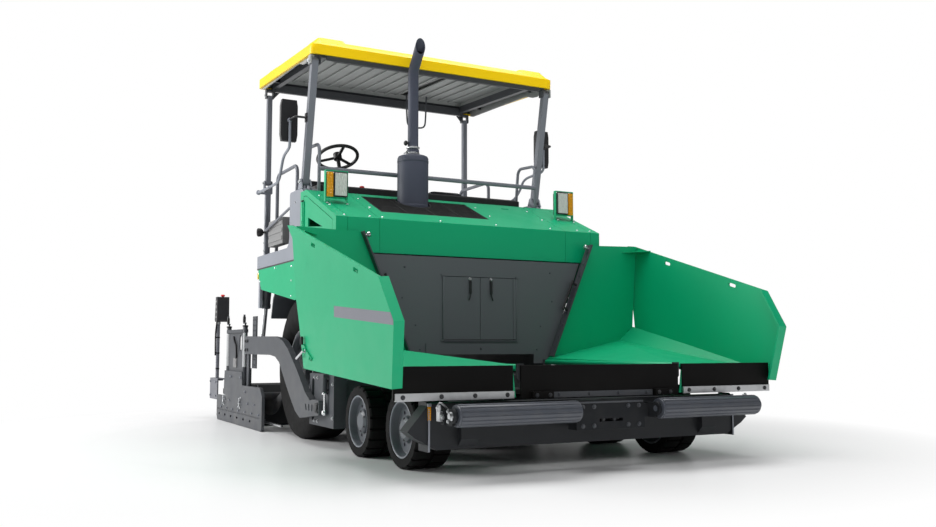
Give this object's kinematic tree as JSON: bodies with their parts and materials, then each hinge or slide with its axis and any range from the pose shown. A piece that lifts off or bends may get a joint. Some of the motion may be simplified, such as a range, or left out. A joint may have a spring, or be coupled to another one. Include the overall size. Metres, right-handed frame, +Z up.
{
  "type": "wheeled asphalt paver",
  "caption": "Road paver with front hopper and push rollers, operator platform under a folding roof, large rear drive wheels, small steered front wheels and a towed rear screed.",
  "frame": {"origin": "on the ground under the middle of the bounding box", "axes": "+X forwards, the way it drives; +Y to the machine's left; +Z up"},
  "size_m": [6.2698, 3.3088, 3.6556],
  "materials": {
    "green_paint": "semi-gloss enamel",
    "frame_paint": "satin enamel",
    "light_paint": "satin enamel",
    "rim_paint": "satin enamel",
    "exhaust_paint": "heat-proof matt paint",
    "roof_shell": "moulded, gloss",
    "black_plastic": "grained",
    "seat_cover": "grained vinyl",
    "apron_rubber": "matt",
    "tyre_rubber": "matt",
    "bare_steel": "worn",
    "cast_parts": "painted casting",
    "engine_metal": "cast"
  },
  "bodies": {
    "chassis": {"main_frame": "frame_paint", "front_bogies": "frame_paint", "final_drives": "cast_parts", "conveyor_deck": "frame_paint", "conveyor_chains": "bare_steel", "bulkhead": "frame_paint", "hood": "green_paint", "hood_hinges": "black_plastic", "hood_grille": "black_plastic", "engine": "engine_metal", "exhaust": "exhaust_paint", "platform": "frame_paint", "fenders": "green_paint", "skirts": "light_paint", "guard_rails": "light_paint", "seats": "seat_cover", "console": "black_plastic", "headlamps": "green_paint", "centre_apron": "apron_rubber"},
    "steering_wheel": {"steering_wheel": "black_plastic"},
    "bay_door_left": {"bay_door_left": "frame_paint"},
    "hood_door_left": {"hood_door_left": "green_paint"},
    "wing_left": {"wing_left": "green_paint", "side_apron_left": "apron_rubber"},
    "push_roller_left": {"push_roller_left": "bare_steel"},
    "rear_wheel_left": {"rear_rim_left": "rim_paint", "rear_tyre_left": "tyre_rubber"},
    "auger_left": {"auger_left": "bare_steel"},
    "knuckle_front_left": {"knuckle_front_left": "cast_parts"},
    "wheel_front_left": {"rim_front_left": "rim_paint", "tyre_front_left": "tyre_rubber"},
    "knuckle_second_left": {"knuckle_second_left": "cast_parts"},
    "wheel_second_left": {"rim_second_left": "rim_paint", "tyre_second_left": "tyre_rubber"},
    "bay_door_right": {"bay_door_right": "frame_paint"},
    "hood_door_right": {"hood_door_right": "green_paint"},
    "wing_right": {"wing_right": "green_paint", "side_apron_right": "apron_rubber"},
    "push_roller_right": {"push_roller_right": "bare_steel"},
    "rear_wheel_right": {"rear_rim_right": "rim_paint", "rear_tyre_right": "tyre_rubber"},
    "auger_right": {"auger_right": "bare_steel"},
    "knuckle_front_right": {"knuckle_front_right": "cast_parts"},
    "wheel_front_right": {"rim_front_right": "rim_paint", "tyre_front_right": "tyre_rubber"},
    "knuckle_second_right": {"knuckle_second_right": "cast_parts"},
    "wheel_second_right": {"rim_second_right": "rim_paint", "tyre_second_right": "tyre_rubber"},
    "push_yoke": {"push_yoke": "frame_paint"},
    "front_posts": {"front_posts": "light_paint", "mirrors": "black_plastic"},
    "rear_posts": {"rear_posts": "light_paint"},
    "roof": {"roof_frame": "frame_paint", "roof": "roof_shell"},
    "screed": {"tow_arms": "frame_paint", "screed_body": "frame_paint", "side_shields": "frame_paint", "screed_controls": "frame_paint"},
    "lift_barrels": {"lift_barrels": "frame_paint"},
    "lift_rods": {"lift_rods": "bare_steel"}
  },
  "joints": [
    {"name": "steer", "type": "hinge", "parent": "chassis", "child": "knuckle_front_left", "pos_m": [2.229, 0.865, 0.265], "axis": [0, 0, 1], "range_deg": [-20, 20]},
    {"name": "spin_front_left", "type": "hinge", "parent": "knuckle_front_left", "child": "wheel_front_left", "pos_m": [2.229, 1.0625, 0.265], "axis": [0, 1, 0], "continuous": true},
    {"name": "steer_front_right", "type": "hinge", "parent": "chassis", "child": "knuckle_front_right", "pos_m": [2.229, -0.865, 0.265], "axis": [0, 0, 1], "range_deg": [-20, 20]},
    {"name": "spin_front_right", "type": "hinge", "parent": "knuckle_front_right", "child": "wheel_front_right", "pos_m": [2.229, -1.0625, 0.265], "axis": [0, 1, 0], "continuous": true},
    {"name": "steer_second_left", "type": "hinge", "parent": "chassis", "child": "knuckle_second_left", "pos_m": [1.433, 0.865, 0.265], "axis": [0, 0, 1], "range_deg": [-14, 14]},
    {"name": "spin_second_left", "type": "hinge", "parent": "knuckle_second_left", "child": "wheel_second_left", "pos_m": [1.433, 1.0625, 0.265], "axis": [0, 1, 0], "continuous": true},
    {"name": "steer_second_right", "type": "hinge", "parent": "chassis", "child": "knuckle_second_right", "pos_m": [1.433, -0.865, 0.265], "axis": [0, 0, 1], "range_deg": [-14, 14]},
    {"name": "spin_second_right", "type": "hinge", "parent": "knuckle_second_right", "child": "wheel_second_right", "pos_m": [1.433, -1.0625, 0.265], "axis": [0, 1, 0], "continuous": true},
    {"name": "steering_wheel_turn", "type": "hinge", "parent": "chassis", "child": "steering_wheel", "pos_m": [-0.285, -0.756, 2.61], "axis": [-0.4226, 0, 0.9063], "range_deg": [-240, 240]},
    {"name": "spin_rear_left", "type": "hinge", "parent": "chassis", "child": "rear_wheel_left", "pos_m": [-0.135, 0.985, 0.64], "axis": [0, 1, 0], "continuous": true},
    {"name": "auger_turn_left", "type": "hinge", "parent": "chassis", "child": "auger_left", "pos_m": [-1.235, 0.65, 0.33], "axis": [0, 1, 0], "continuous": true},
    {"name": "bay_door_left_swing", "type": "hinge", "parent": "chassis", "child": "bay_door_left", "pos_m": [1.171, 0.352, 1.145], "axis": [0, 0, -1], "range_deg": [-100, 0]},
    {"name": "hood_door_left_swing", "type": "hinge", "parent": "chassis", "child": "hood_door_left", "pos_m": [0.29, 1.286, 1.7], "axis": [0, 0, -1], "range_deg": [-95, 0]},
    {"name": "wing_left_fold", "type": "hinge", "parent": "chassis", "child": "wing_left", "pos_m": [2.025, 0.65, 0.69], "axis": [1, 0, 0], "range_deg": [0, 52]},
    {"name": "spin_rear_right", "type": "hinge", "parent": "chassis", "child": "rear_wheel_right", "pos_m": [-0.135, -0.985, 0.64], "axis": [0, 1, 0], "continuous": true},
    {"name": "auger_turn_right", "type": "hinge", "parent": "chassis", "child": "auger_right", "pos_m": [-1.235, -0.65, 0.33], "axis": [0, 1, 0], "continuous": true},
    {"name": "bay_door_right_swing", "type": "hinge", "parent": "chassis", "child": "bay_door_right", "pos_m": [1.171, -0.352, 1.145], "axis": [0, 0, 1], "range_deg": [-100, 0]},
    {"name": "hood_door_right_swing", "type": "hinge", "parent": "chassis", "child": "hood_door_right", "pos_m": [0.29, -1.286, 1.7], "axis": [0, 0, 1], "range_deg": [-95, 0]},
    {"name": "wing_right_fold", "type": "hinge", "parent": "chassis", "child": "wing_right", "pos_m": [2.025, -0.65, 0.69], "axis": [-1, 0, 0], "range_deg": [0, 52]},
    {"name": "yoke_swing", "type": "hinge", "parent": "chassis", "child": "push_yoke", "pos_m": [2.865, 0, 0.36], "axis": [0, 0, 1], "range_deg": [-5, 5]},
    {"name": "roller_turn_left", "type": "hinge", "parent": "push_yoke", "child": "push_roller_left", "pos_m": [3.065, 0.77, 0.41], "axis": [0, 1, 0], "continuous": true},
    {"name": "roller_turn_right", "type": "hinge", "parent": "push_yoke", "child": "push_roller_right", "pos_m": [3.065, -0.77, 0.41], "axis": [0, 1, 0], "continuous": true},
    {"name": "canopy_fold", "type": "hinge", "parent": "chassis", "child": "front_posts", "pos_m": [0.105, 0, 2.29], "axis": [0, 1, 0], "range_deg": [-40, 0]},
    {"name": "canopy_level", "type": "hinge", "parent": "front_posts", "child": "roof", "pos_m": [0.317, 0, 3.34], "axis": [0, 1, 0], "range_deg": [0, 32]},
    {"name": "rear_posts_turn", "type": "hinge", "parent": "chassis", "child": "rear_posts", "pos_m": [-1.304, 0, 2.5], "axis": [0, 1, 0], "range_deg": [-50.4, 0]},
    {"name": "screed_lift", "type": "hinge", "parent": "chassis", "child": "screed", "pos_m": [0.685, 0, 0.325], "axis": [0, 1, 0], "range_deg": [0, 8]},
    {"name": "lift_barrels_turn", "type": "hinge", "parent": "chassis", "child": "lift_barrels", "pos_m": [-1.175, 0, 1.6], "axis": [0, 1, 0], "range_deg": [-1.6, 0]},
    {"name": "lift_rods_slide", "type": "slide", "parent": "lift_barrels", "child": "lift_rods", "axis": [0.268, 0, 0.9634], "range_m": [0, 0.2975]}
  ],
  "couplings": [
    {"joint": "steer_front_right", "follows": "steer", "ratio": 1},
    {"joint": "steer_second_left", "follows": "steer", "ratio": 0.7},
    {"joint": "steer_second_right", "follows": "steer", "ratio": 0.7},
    {"joint": "steering_wheel_turn", "follows": "steer", "ratio": 12},
    {"joint": "canopy_level", "follows": "canopy_fold", "ratio": -0.798},
    {"joint": "rear_posts_turn", "follows": "canopy_fold", "ratio": 1.2558},
    {"joint": "lift_barrels_turn", "follows": "screed_lift", "ratio": -0.1957},
    {"joint": "lift_rods_slide", "follows": "screed_lift", "m_per_rad": 2.1292}
  ]
}
